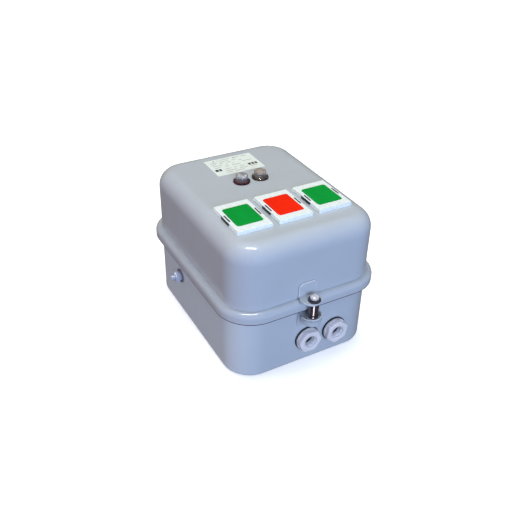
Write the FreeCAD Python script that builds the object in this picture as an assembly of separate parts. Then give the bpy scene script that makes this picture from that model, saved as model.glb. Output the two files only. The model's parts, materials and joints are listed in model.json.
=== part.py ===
"""Enclosed reversing magnetic motor starter, in millimetres.

The frame: the origin is the centre of the base's back face, +Z points out of the wall towards the
cover, +Y points to the hinge side and -Y to the cable glands and the closure screw.
"""

import FreeCAD, Part
import math
import os

V = FreeCAD.Vector
X_AXIS, Y_AXIS, Z_AXIS = V(1, 0, 0), V(0, 1, 0), V(0, 0, 1)

# Driving dimensions of the enclosure
BODY_W = 166.0  # across the side walls, X
BODY_D = 212.0  # from the gland wall to the hinge wall, Y
PLAN_R = 31.0  # vertical corners
TOTAL_H = 156.0  # back face to the flat of the cover
SHEET = 1.5  # deep-drawn steel sheet
BASE_H = 81.5  # top of the base's rim flange
BASE_EDGE_R = 4.0
RIM_OUT = 3.9  # how far the base's rim flange stands out of its wall
BEAD_Z = 76.0  # lower edge of the cover's rim bead
BEAD_H = 11.0
BEAD_OUT = 7.4
BEAD_R = 6.0
COVER_TOP_R = 18.0
HALF_W, HALF_D = BODY_W / 2, BODY_D / 2
FRONT, REAR = -HALF_D, HALF_D
INNER_FLOOR = SHEET
COVER_UNDER = TOTAL_H - SHEET

SEAT_GAP = 0.02  # between pieces of one group that rest on each other

# Interfaces
WALL_HOLE_R = 3.5
WALL_HOLE_X, WALL_HOLE_Y = 66.0, 92.0
GLAND_X = (-1.0, 32.5)
GLAND_Z = 31.0
EARTH_Y, EARTH_Z = 31.5, 50.0

# Hinge and closure
HINGE_Y, HINGE_Z = 120.0, 76.0
HINGE_PIN_R = 2.0
HINGE_BORE_R = HINGE_PIN_R + 0.05
KNUCKLE_R = 4.0
BASE_KNUCKLES = ((-38.0, -22.0), (-8.0, 8.0), (22.0, 38.0))
COVER_KNUCKLES = ((-21.5, -8.5), (8.5, 21.5))
LUG_SHEET = 2.0
COVER_LUG_Z = 88.0  # underside of the cover lug's shelf
BASE_LUG_Z = 68.0  # top of the base lug's shelf
COVER_LUG_X, COVER_LUG_Y = -5.0, -113.8  # centre of the round tongue
BASE_LUG_X, BASE_LUG_Y = -4.2, -115.2
COVER_TONGUE_R, BASE_TONGUE_R = 11.8, 11.0
LUG_PLATE_HALF = 9.6
LUG_RIM_H = 6.5  # how far the base lug's rim is turned down at its tip
SCREW_X, SCREW_Y = -4.4, -119.2
SCREW_HEAD_R, SCREW_HEAD_H = 5.2, 3.4
SHANK_R = 3.0
WASHER_T = 1.2
BOSS_H = 2.2
POST_TOP = COVER_LUG_Z - 0.5
POST_BORE_R = 3.8
THREAD_END = POST_TOP - 9.5

# Cable glands: "out" is a distance in front of the gland wall
GLAND_THREAD_R = 11.0
GLAND_FLANGE_R = 13.4
GLAND_GASKET_R = 14.2
GLAND_MOUTH_R = 7.2
GLAND_ACROSS_FLATS = 24.4
SLEEVE_R, SLEEVE_BORE_R = 8.6, 6.4
MEMBRANE_OUT = -3.3
GASKET_T = 1.7
FLANGE_T = 1.8
CAP_START = GASKET_T + FLANGE_T + 0.1
CAP_H = 5.4
CAP_TURNS = (35, 12)  # degrees at which the two nuts were left tightened

# Earth terminal
EARTH_R, EARTH_TIP_R = 3.0, 2.6
EARTH_TIP_X = -91.2  # where the bare tip starts, just outside the nut
EARTH_END_X = -95.0

# Push buttons and signal lamps
BUTTONS = {"forward": -46.0, "stop": 0.0, "reverse": 46.0}
BUTTON_Y = -46.0
PAD_X, PAD_Y = 28.8, 34.8
PAD_GAP = 0.3
COLLAR_WALL = 1.2
COLLAR_Z = 138.0
FRAME_X, FRAME_Y = 38.4, 53.4
FRAME_TOP = TOTAL_H + 3.7
WINDOW_R = 2.6
SLOT_OUT, SLOT_W, SLOT_L = 17.1, 1.3, 12.8  # the two slots in a frame's top
NOTCH_L, NOTCH_H = 16.5, 2.0  # the notch in each flank of a frame
LENS_NECK_R = 5.5
LENS_TOP = TOTAL_H + 8.5
LAMPS = {"forward": -11.0, "reverse": 11.5}
LAMP_Y = 22.4

# Chassis and switchgear
CHASSIS_Z = 12.0  # top of the chassis plate
CHASSIS_HALF = 60.0
CHASSIS_FEET = [(sx * 67.0, y) for sx in (-1, 1) for y in (-50.0, 56.0)]
CONTACTORS = {"forward": -34.5, "reverse": 34.5}
CONTACTOR_Y = 44.0
CONTACTOR_W, CONTACTOR_L = 56.0, 80.0
CONTACTOR_SPLIT_Z = 56.0
CONTACTOR_SHELF_Z = 90.0
CONTACTOR_TOP_Z = 104.0
POLES = (-18.75, -6.25, 6.25, 18.75)
STRIP_Z = 72.0
CORE_FACE_Z = 41.0
ARMATURE_TRAVEL = 4.4
RELAY_X, RELAY_W = -34.5, 45.0
RELAY_TOP_Z = 70.0
RELAY_POLES = POLES[:3]
PRONG_Y, PRONG_DEPTH = -10.0, 6.0
DIAL_X, DIAL_Y, DIAL_R = RELAY_X - 9.0, -32.0, 6.0
RESET_X = RELAY_X + 10.0
LINK_T, LINK_W = 1.4, 3.4
LINK_TOP_Z = 86.0
BLOCK_X, BLOCK_Y = (6.0, 56.0), (-62.0, -36.0)
BLOCK_TOP_Z = CHASSIS_Z + 20.0
BLOCK_WAYS = 8


# ---------------------------------------------------------------- shape helpers


def box(x0, x1, y0, y1, z0, z1):
    return Part.makeBox(x1 - x0, y1 - y0, z1 - z0, V(x0, y0, z0))


def mid_box(cx, cy, wx, wy, z0, z1):
    """A box centred on (cx, cy)."""
    return box(cx - wx / 2, cx + wx / 2, cy - wy / 2, cy + wy / 2, z0, z1)


def post(x, y, z0, z1, r):
    """An upright cylinder."""
    return Part.makeCylinder(r, z1 - z0, V(x, y, z0), Z_AXIS)


def rod(start, axis, length, r):
    return Part.makeCylinder(r, length, start, axis)


def union(first, *rest):
    return first.fuse(list(rest)).removeSplitter()


def minus(first, *rest):
    return first.cut(list(rest))


def group(*solids):
    return Part.makeCompound(list(solids))


def in_plane(edge, z):
    first, last = edge.FirstParameter, edge.LastParameter
    spots = [edge.valueAt(first + (last - first) * k / 4) for k in range(5)]
    return all(abs(p.z - z) < 1e-4 for p in spots)


def round_level(shape, z, r):
    """Fillets every edge that lies at height z."""
    return shape.makeFillet(r, [e for e in shape.Edges if in_plane(e, z)])


def slab(half_x, half_y, r, z0, z1, top_r=0.0, bottom_r=0.0, cx=0.0, cy=0.0):
    """A rounded rectangle, extruded from z0 to z1, with optional edge radii."""
    sx, sy = half_x - r, half_y - r
    centres = [(sx, sy, 0), (-sx, sy, 90), (-sx, -sy, 180), (sx, -sy, 270)]
    arcs = [
        Part.makeCircle(r, V(cx + x, cy + y, z0), Z_AXIS, a, a + 90)
        for x, y, a in centres
    ]
    edges = []
    for arc, following in zip(arcs, arcs[1:] + arcs[:1]):
        end, start = arc.Vertexes[-1].Point, following.Vertexes[0].Point
        edges.append(arc)
        if end.distanceToPoint(start) > 1e-6:
            edges.append(Part.makeLine(end, start))
    solid = Part.Face(Part.Wire(edges)).extrude(V(0, 0, z1 - z0))
    if top_r:
        solid = round_level(solid, z1, top_r)
    if bottom_r:
        solid = round_level(solid, z0, bottom_r)
    return solid


def prism(points, direction):
    """A closed outline of points, extruded along direction."""
    return Part.Face(Part.makePolygon([*points, points[0]])).extrude(direction)


def yz_prism(outline, x0, x1):
    return prism([V(x0, y, z) for y, z in outline], V(x1 - x0, 0, 0))


def hexagon(centre, axis, length, across_flats):
    """A hexagonal prism that starts at centre and runs along axis."""
    side = axis.cross(Z_AXIS if abs(axis.z) < 0.5 else X_AXIS).normalize()
    other = axis.cross(side)
    r = across_flats / math.sqrt(3)
    corners = [
        centre + side * (r * math.cos(a)) + other * (r * math.sin(a))
        for a in (math.radians(60 * k) for k in range(6))
    ]
    return prism(corners, axis * length)


def washer(centre, axis, thickness, outer_r, inner_r):
    return minus(rod(centre, axis, thickness, outer_r), rod(centre, axis, thickness, inner_r))


def coil_spring(x, y, z0, z1, mean_r, wire_r, turns):
    """An open helical spring whose wire stays between z0 and z1."""
    height = z1 - z0 - 2 * wire_r
    helix = Part.makeLongHelix(height / turns, height, mean_r)
    section = Part.Wire([Part.makeCircle(wire_r, V(mean_r, 0, 0), Y_AXIS)])
    spring = Part.Wire(helix.Edges).makePipeShell([section], True, True)
    return spring.translated(V(x, y, z0 + wire_r))


def slotted_screw(x, y, z, head_r, head_h, shank_r, shank_h):
    """A pan-head screw whose head sits on height z, with its shank below."""
    head = round_level(post(x, y, z, z + head_h, head_r), z + head_h, head_h * 0.3)
    slot = mid_box(x, y, head_r * 0.3, head_r * 2.2, z + head_h * 0.55, z + head_h + 1)
    return union(minus(head, slot), post(x, y, z - shank_h, z, shank_r))


# ---------------------------------------------------------------- enclosure


def offset_slab(out, z0, z1, **radii):
    """The enclosure's plan outline, moved outwards by out."""
    return slab(HALF_W + out, HALF_D + out, PLAN_R + out, z0, z1, **radii)


def base_shell():
    tray = offset_slab(0, 0, BASE_H, bottom_r=BASE_EDGE_R)
    rim = offset_slab(RIM_OUT, BASE_H - SHEET, BASE_H)
    hollow = offset_slab(-SHEET, SHEET, BASE_H + 1, bottom_r=BASE_EDGE_R - SHEET)
    holes = [
        post(sx * WALL_HOLE_X, sy * WALL_HOLE_Y, -1, SHEET + 1, WALL_HOLE_R)
        for sx in (-1, 1)
        for sy in (-1, 1)
    ]
    holes += [rod(V(x, FRONT - 1, GLAND_Z), Y_AXIS, SHEET + 2, 11.2) for x in GLAND_X]
    holes.append(rod(V(-HALF_W - 1, EARTH_Y, EARTH_Z), X_AXIS, SHEET + 2, EARTH_R + 0.2))
    return minus(union(tray, rim), hollow, *holes)


def cover_shell():
    bead_top = BEAD_Z + BEAD_H
    dome = offset_slab(0, bead_top - SHEET, TOTAL_H, top_r=COVER_TOP_R)
    bead = offset_slab(BEAD_OUT, BEAD_Z, bead_top, top_r=BEAD_R)
    hollow = offset_slab(-SHEET, BEAD_Z - 1, COVER_UNDER, top_r=COVER_TOP_R - SHEET)
    openings = [
        slab(PAD_X / 2 + 1.7, PAD_Y / 2 + 1.7, 3.0, COVER_UNDER - 1, TOTAL_H + 1, cx=x, cy=BUTTON_Y)
        for x in BUTTONS.values()
    ]
    openings += [
        post(x, LAMP_Y, COVER_UNDER - 1, TOTAL_H + 1, LENS_NECK_R + 0.2) for x in LAMPS.values()
    ]
    return minus(union(dome, bead), hollow, bead_channel(0), *openings)


def bead_channel(shrink):
    """The space inside the cover's rim bead."""
    out = BEAD_OUT - SHEET - shrink
    top = BEAD_Z + BEAD_H - SHEET - shrink
    return offset_slab(out, BEAD_Z - 1, top, top_r=BEAD_R - SHEET)


def cover_gasket():
    """A rubber strip in the bead channel, just clear of the base's rim flange."""
    top = BEAD_Z + BEAD_H - SHEET
    outer = offset_slab(RIM_OUT + 0.3, BASE_H + 0.3, top)
    inner = offset_slab(-SHEET + 0.2, BASE_H, top + 1)
    return minus(outer.common(bead_channel(0.05)), inner)


def rating_label():
    return slab(29.0, 19.5, 1.0, TOTAL_H, TOTAL_H + 0.2, cx=0.8, cy=63.0)


# ---------------------------------------------------------------- hinge


def knuckles(spans, z0, z1):
    """Barrels around the hinge axis, each on a post that reaches from z0 to z1."""
    made = []
    for x0, x1 in spans:
        made.append(rod(V(x0, HINGE_Y, HINGE_Z), X_AXIS, x1 - x0, KNUCKLE_R))
        made.append(box(x0, x1, HINGE_Y - 2, HINGE_Y + 2, z0, z1))
    return made


def hinge_bore():
    return rod(V(-50, HINGE_Y, HINGE_Z), X_AXIS, 100, HINGE_BORE_R)


def hinge_base_leaf():
    shelf_z = 68.0
    x1 = BASE_KNUCKLES[-1][1]
    plate = box(-x1, x1, REAR, REAR + LUG_SHEET, 50, shelf_z + LUG_SHEET)
    shelf = box(-x1, x1, REAR, HINGE_Y + 2, shelf_z, shelf_z + LUG_SHEET)
    barrels = knuckles(BASE_KNUCKLES, shelf_z, HINGE_Z)
    return minus(union(plate, shelf, *barrels), hinge_bore())


def hinge_cover_leaf():
    x1 = COVER_KNUCKLES[-1][1]
    plate = box(-x1, x1, REAR, REAR + LUG_SHEET, COVER_LUG_Z, 104)
    shelf = box(-x1, x1, REAR, HINGE_Y + 2, COVER_LUG_Z, COVER_LUG_Z + LUG_SHEET)
    barrels = knuckles(COVER_KNUCKLES, HINGE_Z, COVER_LUG_Z + LUG_SHEET)
    return minus(union(plate, shelf, *barrels), hinge_bore())


def hinge_pin():
    x1 = BASE_KNUCKLES[-1][1] + 2
    shaft = rod(V(-x1, HINGE_Y, HINGE_Z), X_AXIS, 2 * x1, HINGE_PIN_R)
    heads = [rod(V(x, HINGE_Y, HINGE_Z), X_AXIS, 1.6, 3.2) for x in (-x1 - 1.4, x1 - 0.2)]
    return union(shaft, *heads)


# ---------------------------------------------------------------- closure


def lug_tongue(cx, cy, r, neck_half, z0, z1, wall_y=FRONT):
    """A round tongue on a neck that stands out of the gland wall."""
    tongue = union(post(cx, cy, z0, z1, r), box(cx - neck_half, cx + neck_half, cy, wall_y, z0, z1))
    return tongue.common(box(cx - r, cx + r, cy - r, wall_y, z0, z1))


def lug_plate(cx, z0, z1, r, round_top):
    """The welded back plate of a lug, with its far corners rounded."""
    plate = box(cx - LUG_PLATE_HALF, cx + LUG_PLATE_HALF, FRONT - LUG_SHEET, FRONT, z0, z1)
    level = z1 if round_top else z0
    corners = [
        e for e in plate.Edges
        if abs(e.Length - LUG_SHEET) < 1e-6 and abs(e.CenterOfMass.z - level) < 1e-6
    ]
    return plate.makeFillet(r, corners)


def on_screw_axis(z0, z1, r):
    return post(SCREW_X, SCREW_Y, z0, z1, r)


def latch_cover_lug():
    z0, z1 = COVER_LUG_Z, COVER_LUG_Z + LUG_SHEET
    plate = lug_plate(COVER_LUG_X, z0, 104.0, 4.5, True)
    tongue = lug_tongue(COVER_LUG_X, COVER_LUG_Y, COVER_TONGUE_R, LUG_PLATE_HALF, z0, z1)
    return minus(union(plate, tongue), on_screw_axis(z0 - 1, z1 + 1, SHANK_R + 0.6))


def latch_base_lug():
    """A tongue with a boss under the round nut and a rim that grows deeper towards its tip."""
    rim_z = BASE_LUG_Z - LUG_RIM_H
    under = BASE_LUG_Z - LUG_SHEET
    behind, ahead = FRONT - LUG_SHEET, BASE_LUG_Y - BASE_TONGUE_R
    plate = lug_plate(BASE_LUG_X, 51.0, BASE_LUG_Z, 5.0, False)
    outer = (BASE_LUG_X, BASE_LUG_Y, BASE_TONGUE_R, LUG_PLATE_HALF)
    tongue = lug_tongue(*outer, rim_z, BASE_LUG_Z)
    inner = (BASE_LUG_X, BASE_LUG_Y, BASE_TONGUE_R - LUG_SHEET, LUG_PLATE_HALF - LUG_SHEET)
    inside = lug_tongue(*inner, rim_z - 1, under, behind)
    slope = [(behind + 8, under), (behind, under), (ahead, rim_z)]
    below = [(ahead, rim_z - 4), (behind + 8, rim_z - 4)]
    taper = yz_prism(slope + below, BASE_LUG_X - 20, BASE_LUG_X + 20)
    boss_top = BASE_LUG_Z + BOSS_H
    boss = round_level(on_screw_axis(under, boss_top, 6.3), boss_top, 1.0)
    hole = on_screw_axis(rim_z, boss_top + 1, POST_BORE_R)
    return minus(union(plate, minus(tongue, inside, taper), boss), hole)


def latch_post():
    """The tall round nut on the base lug: a collar, a groove and a plain body."""
    seat = BASE_LUG_Z + BOSS_H
    collar_top = seat + 3.6
    collar = round_level(on_screw_axis(seat, collar_top, 5.7), collar_top, 1.2)
    groove = on_screw_axis(collar_top, collar_top + 1.0, 4.7)
    body = round_level(on_screw_axis(collar_top + 1.0, POST_TOP, 5.3), POST_TOP, 0.7)
    return minus(union(collar, groove, body), on_screw_axis(seat - 1, POST_TOP + 1, POST_BORE_R))


def closure_washer():
    seat = COVER_LUG_Z + LUG_SHEET
    return washer(V(SCREW_X, SCREW_Y, seat), Z_AXIS, WASHER_T, 6.6, SHANK_R + 0.2)


def closure_screw():
    seat = COVER_LUG_Z + LUG_SHEET + WASHER_T
    length = seat - THREAD_END
    screw = slotted_screw(SCREW_X, SCREW_Y, seat, SCREW_HEAD_R, SCREW_HEAD_H, SHANK_R, length)
    tip = [e for e in screw.Edges if in_plane(e, THREAD_END)]
    return screw.makeChamfer(0.6, tip)


# ---------------------------------------------------------------- cable glands


def out_of_wall(x, out, length, r):
    """A round length on a gland's axis, from out mm in front of the gland wall."""
    return rod(V(x, FRONT - out, GLAND_Z), -Y_AXIS, length, r)


def gland_body(x):
    flange = out_of_wall(x, GASKET_T, FLANGE_T, GLAND_FLANGE_R)
    thread = out_of_wall(x, -14.0, 16.0, GLAND_THREAD_R)
    neck = out_of_wall(x, GASKET_T, FLANGE_T + 2.8, 9.6)
    return minus(union(flange, thread, neck), out_of_wall(x, -15.0, 22.0, 8.7))


def gland_cap(x, turn):
    """A hexagonal pressure nut with chamfered corners and a round mouth."""
    start = V(x, FRONT - CAP_START, GLAND_Z)
    nut = hexagon(start, -Y_AXIS, CAP_H, GLAND_ACROSS_FLATS)
    nut.rotate(start, Y_AXIS, turn)
    nut = nut.common(Part.makeCone(14.6, 13.3, CAP_H, start, -Y_AXIS))
    recess = out_of_wall(x, CAP_START - 1, 4.0, 9.8)
    return minus(nut, recess, out_of_wall(x, CAP_START, 8, GLAND_MOUTH_R))


def gland_caps():
    return group(*[gland_cap(x, turn) for x, turn in zip(GLAND_X, CAP_TURNS)])


def gland_seal(x):
    """A rubber sleeve, closed by a thin membrane until a cable is pushed through it."""
    sleeve = out_of_wall(x, -8.0, 14.2, SLEEVE_R)
    sleeve = minus(sleeve, out_of_wall(x, -9.0, 16.0, SLEEVE_BORE_R))
    return union(sleeve, out_of_wall(x, MEMBRANE_OUT, 0.8, SLEEVE_BORE_R + 0.6))


def gland_gasket(x):
    """The sealing ring between the wall and the gland's flange."""
    ring = out_of_wall(x, 0, GASKET_T, GLAND_GASKET_R)
    return minus(ring, out_of_wall(x, -1, 4, GLAND_THREAD_R + 0.05))


def gland_locknut(x):
    nut = hexagon(V(x, FRONT + SHEET, GLAND_Z), Y_AXIS, 4.0, 27.0)
    return minus(nut, out_of_wall(x, -6.5, 6.0, GLAND_THREAD_R + 0.05))


# ---------------------------------------------------------------- earth terminal


def earth_terminal():
    """An M6 screw through the side wall with a washer, a spring washer and a nut outside."""
    outwards = -X_AXIS
    bore = EARTH_R + 0.05
    inner_x = -HALF_W + SHEET
    head = hexagon(V(inner_x, EARTH_Y, EARTH_Z), X_AXIS, 4.0, 10.0)
    shaft = rod(V(inner_x, EARTH_Y, EARTH_Z), outwards, inner_x - EARTH_TIP_X, EARTH_R)
    tip = rod(V(EARTH_TIP_X, EARTH_Y, EARTH_Z), outwards, EARTH_TIP_X - EARTH_END_X, EARTH_TIP_R)
    pieces = [union(head, shaft, tip)]
    x = -HALF_W - SEAT_GAP
    pieces.append(washer(V(x, EARTH_Y, EARTH_Z), outwards, 1.4, 8.0, bore))
    x -= 1.4 + SEAT_GAP
    spring = washer(V(x, EARTH_Y, EARTH_Z), outwards, 1.6, 5.6, bore)
    pieces.append(minus(spring, box(x - 2, x + 1, EARTH_Y, EARTH_Y + 1.2, EARTH_Z, EARTH_Z + 7)))
    x -= 1.6 + SEAT_GAP
    nut = hexagon(V(x, EARTH_Y, EARTH_Z), outwards, 5.0, 12.0)
    pieces.append(minus(nut, rod(V(x + 1, EARTH_Y, EARTH_Z), outwards, 8, bore)))
    return group(*pieces)


# ---------------------------------------------------------------- push buttons


def pad_outline(grow, z0, z1, x):
    return slab(PAD_X / 2 + grow, PAD_Y / 2 + grow, WINDOW_R + grow, z0, z1, cx=x, cy=BUTTON_Y)


def bezel(x):
    """A two-step frame with a collar that snaps into the cover's opening."""
    step = TOTAL_H + 1.5
    foot = slab(FRAME_X / 2 + 0.6, FRAME_Y / 2 + 0.5, 1.2, TOTAL_H, step, cx=x, cy=BUTTON_Y)
    frame = slab(FRAME_X / 2, FRAME_Y / 2, 1.2, step, FRAME_TOP, 0.5, cx=x, cy=BUTTON_Y)
    collar = pad_outline(PAD_GAP + COLLAR_WALL, COLLAR_Z, TOTAL_H, x)
    hooks = [
        mid_box(x, BUTTON_Y + s * (PAD_Y / 2 + 2.2), 9, 1.6, COVER_UNDER - 2.6, COVER_UNDER - 0.2)
        for s in (-1, 1)
    ]
    body = union(foot, frame, collar, *hooks)
    cuts = [pad_outline(PAD_GAP, COLLAR_Z - 1, FRAME_TOP + 1, x)]
    for side in (-1, 1):
        slot_x, slot_z = x + side * SLOT_OUT, FRAME_TOP - 1.6
        cuts.append(mid_box(slot_x, BUTTON_Y + 0.4, SLOT_W, SLOT_L, slot_z, FRAME_TOP + 1))
        notch_x, notch_z = x + side * (FRAME_X / 2 + 0.2), TOTAL_H + 0.1
        cuts.append(mid_box(notch_x, BUTTON_Y - 0.3, 2.4, NOTCH_L, notch_z, notch_z + NOTCH_H))
    return minus(body, *cuts)


def cap(x):
    """The coloured pad and its stem, moulded in one."""
    top = FRAME_TOP - 0.3
    pad = round_level(pad_outline(0, TOTAL_H - 0.8, top, x), top, 0.7)
    rib = mid_box(x, BUTTON_Y, 3, 20, TOTAL_H - 5, TOTAL_H - 0.8)
    return union(pad, rib, post(x, BUTTON_Y, 124.0, TOTAL_H - 0.8, 3.5))


def button_spring(x):
    return coil_spring(x, BUTTON_Y, COLLAR_Z + 0.1, TOTAL_H - 5.2, 5.4, 0.45, 5)


def contact_block(x):
    """The switch housing that clips under the collar; the stem enters through its top."""
    flange = pad_outline(PAD_GAP + COLLAR_WALL, COLLAR_Z - 1.8, COLLAR_Z, x)
    body = mid_box(x, BUTTON_Y, 26.0, 33.0, 112.0, COLLAR_Z - 1.8)
    room = mid_box(x, BUTTON_Y, 21.0, 28.0, 114.5, COLLAR_Z - 3.6)
    slots = [
        mid_box(x + 6.5 * side, BUTTON_Y + 16.5 * end, 8.0, 9.0, 126.0, 133.0)
        for side in (-1, 1)
        for end in (-1, 1)
    ]
    entry = post(x, BUTTON_Y, COLLAR_Z - 4, COLLAR_Z + 1, 3.8)
    return minus(union(flange, body), room, entry, *slots)


def contact_bridge(x):
    """The brass bridge that the stem carries."""
    bar = mid_box(x, BUTTON_Y, 14.0, 5.0, 122.6, 124.0)
    tips = [mid_box(x + s * 5.5, BUTTON_Y, 2.4, 3.0, 121.6, 122.6) for s in (-1, 1)]
    return union(bar, *tips)


# ---------------------------------------------------------------- signal lamps


def lens(x):
    """A clear stepped lens with a hollow neck that drops through the cover."""
    flange = post(x, LAMP_Y, TOTAL_H, TOTAL_H + 2.2, 9.3)
    flange = round_level(flange, TOTAL_H + 2.2, 0.8)
    barrel = round_level(post(x, LAMP_Y, TOTAL_H, LENS_TOP, 6.7), LENS_TOP, 1.8)
    neck = post(x, LAMP_Y, TOTAL_H - 8.0, TOTAL_H, LENS_NECK_R)
    hollow = post(x, LAMP_Y, TOTAL_H - 9.0, LENS_TOP - 2.0, 4.4)
    return minus(union(flange, barrel, neck), hollow)


def lamp_holder(x):
    nut = washer(V(x, LAMP_Y, COVER_UNDER - 3.0), Z_AXIS, 3.0, 9.0, LENS_NECK_R + 0.1)
    body = post(x, LAMP_Y, 130.0, COVER_UNDER - 3.0, 7.4)
    tags = [mid_box(x + s * 4.0, LAMP_Y, 0.8, 4.8, 122.0, 130.0) for s in (-1, 1)]
    hollow = post(x, LAMP_Y, 134.0, COVER_UNDER, LENS_NECK_R + 0.1)
    return minus(union(nut, body, *tags), hollow)


def lamp_bulb(x):
    glass = post(x, LAMP_Y, 138.0, TOTAL_H + 3.0, 3.1)
    glass = round_level(glass, TOTAL_H + 3.0, 2.4)
    return union(glass, post(x, LAMP_Y, 134.0, 138.0, 4.4))


# ---------------------------------------------------------------- contactors


def contactor_base(x):
    """The lower housing, which holds the magnet; its feet are screwed to the chassis."""
    half = CONTACTOR_W / 2
    body = mid_box(x, CONTACTOR_Y, CONTACTOR_W, CONTACTOR_L, CHASSIS_Z, CONTACTOR_SPLIT_Z)
    feet = mid_box(x, CONTACTOR_Y, CONTACTOR_W, CONTACTOR_L + 14, CHASSIS_Z, CHASSIS_Z + 4)
    magnet_room = mid_box(x, CONTACTOR_Y, 50, 68, CHASSIS_Z + 3, CONTACTOR_SPLIT_Z + 1)
    holes = [
        post(x + 20 * sx, CONTACTOR_Y + 43.5 * sy, CHASSIS_Z - 1, CHASSIS_Z + 5, 2.1)
        for sx in (-1, 1)
        for sy in (-1, 1)
    ]
    vents = [
        box(x - half - 1, x + half + 1, CONTACTOR_Y + y - 1, CONTACTOR_Y + y + 1, 30, 46)
        for y in (-20, -12, -4, 4, 12, 20)
    ]
    return minus(union(body, feet), magnet_room, *holes, *vents)


def contactor_head(x):
    """The upper housing: an open chamber over the poles, with a terminal channel at each end."""
    body = mid_box(x, CONTACTOR_Y, CONTACTOR_W, CONTACTOR_L, CONTACTOR_SPLIT_Z, CONTACTOR_SHELF_Z)
    tower = mid_box(x, CONTACTOR_Y, CONTACTOR_W, 44, CONTACTOR_SHELF_Z, CONTACTOR_TOP_Z)
    tower = round_level(tower, CONTACTOR_TOP_Z, 1.5)
    chamber = mid_box(x, CONTACTOR_Y, 48, 54, CONTACTOR_SPLIT_Z - 1, CONTACTOR_SHELF_Z - 3)
    well = mid_box(x, CONTACTOR_Y, 46, 13, CONTACTOR_SHELF_Z - 4, CONTACTOR_TOP_Z - 3)
    window = mid_box(x, CONTACTOR_Y, 13, 9, CONTACTOR_TOP_Z - 4, CONTACTOR_TOP_Z + 1)
    cuts = [chamber, well, window]
    for pole in POLES:
        for end in (-1, 1):
            y = CONTACTOR_Y + end * 33.5
            cuts.append(mid_box(x + pole, y, 9.4, 13.2, STRIP_Z, CONTACTOR_SHELF_Z + 1))
            cuts.append(post(x + pole, CONTACTOR_Y + end * 33, STRIP_Z - 6, STRIP_Z, 2.1))
    for side in (-1, 1):
        cuts.append(mid_box(x + side * 18, CONTACTOR_Y, 4, 30, CONTACTOR_TOP_Z - 2, CONTACTOR_TOP_Z + 1))
    return minus(union(body, tower), *cuts)


def e_core(x, yoke_z, leg_z, yoke_h):
    """A laminated E: the yoke starts at yoke_z and the three legs end at leg_z."""
    yoke_end = yoke_z + yoke_h if leg_z > yoke_z else yoke_z - yoke_h
    yoke = mid_box(x, CONTACTOR_Y, 44, 16, min(yoke_z, yoke_end), max(yoke_z, yoke_end))
    low, high = sorted((yoke_end, leg_z))
    legs = [
        mid_box(x + lx, CONTACTOR_Y, width, 16, low, high)
        for lx, width in ((-18.5, 7), (0, 12), (18.5, 7))
    ]
    return union(yoke, *legs)


def fixed_core(x):
    return e_core(x, CHASSIS_Z + 3, CORE_FACE_Z, 8)


def armature_core(x):
    return e_core(x, 58.0, CORE_FACE_Z + ARMATURE_TRAVEL + 0.1, 7)


def coil(x):
    """A bobbin with its winding, round the magnet's middle leg."""
    z0, z1 = 23.2, 43.0
    cheeks = [mid_box(x, CONTACTOR_Y, 29.4, 40, z, z + 1.4) for z in (z0, z1 - 1.4)]
    winding = slab(13.6, 18.4, 4, z0 + 1.4, z1 - 1.4, cx=x, cy=CONTACTOR_Y)
    bore = mid_box(x, CONTACTOR_Y, 12.6, 16.6, z0 - 1, z1 + 1)
    return minus(union(*cheeks, winding), bore)


def return_spring(x):
    return coil_spring(x, CONTACTOR_Y, 43.1, 50.9, 11.4, 0.6, 3)


def contact_carrier(x):
    """The moulded slide over the armature, with a window for each bridge and a front flag."""
    body = mid_box(x, CONTACTOR_Y, 45, 12, 58.0, 95.0)
    flag = mid_box(x, CONTACTOR_Y, 12, 8, 95.0, CONTACTOR_TOP_Z - 0.4)
    windows = [mid_box(x + p, CONTACTOR_Y, 8.6, 13, 79.4, 91.0) for p in POLES]
    return minus(union(body, flag), *windows)


def bridge_bar(x, pole):
    z = STRIP_Z + 3.0 + ARMATURE_TRAVEL + 0.2
    bar = mid_box(x + pole, CONTACTOR_Y, 7.0, 38, z + 1.0, z + 2.6)
    tips = [mid_box(x + pole, CONTACTOR_Y + 16 * s, 5, 4, z, z + 1.0) for s in (-1, 1)]
    return union(bar, *tips)


def moving_contacts(x):
    return group(*[bridge_bar(x, pole) for pole in POLES])


def fixed_contact(x, pole, end):
    """A terminal strip with its silver tip inside the chamber."""
    y0, y1 = sorted((CONTACTOR_Y + end * 13, CONTACTOR_Y + end * 38))
    strip = box(x + pole - 4, x + pole + 4, y0, y1, STRIP_Z, STRIP_Z + 2)
    tip = mid_box(x + pole, CONTACTOR_Y + end * 16, 5.4, 4.4, STRIP_Z + 2, STRIP_Z + 3)
    hole = post(x + pole, CONTACTOR_Y + end * 33, STRIP_Z - 1, STRIP_Z + 3, 2.1)
    return minus(union(strip, tip), hole)


def terminal_screw(x, y, z):
    """A terminal screw with its square clamp plate."""
    plate = minus(mid_box(x, y, 7.6, 7.6, z, z + 0.9), post(x, y, z - 1, z + 2, 2.1))
    return [plate, slotted_screw(x, y, z + 0.9 + SEAT_GAP, 3.6, 2.6, 2.0, 7.0)]


def interlock_module():
    """The sealed mechanical interlock between the two contactors."""
    module = mid_box(0, CONTACTOR_Y, 12.6, 64, CHASSIS_Z, 84)
    module = round_level(module, 84, 1.0)
    return minus(module, mid_box(0, CONTACTOR_Y, 8, 40, 83, 85))


# ---------------------------------------------------------------- overload relay


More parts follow.
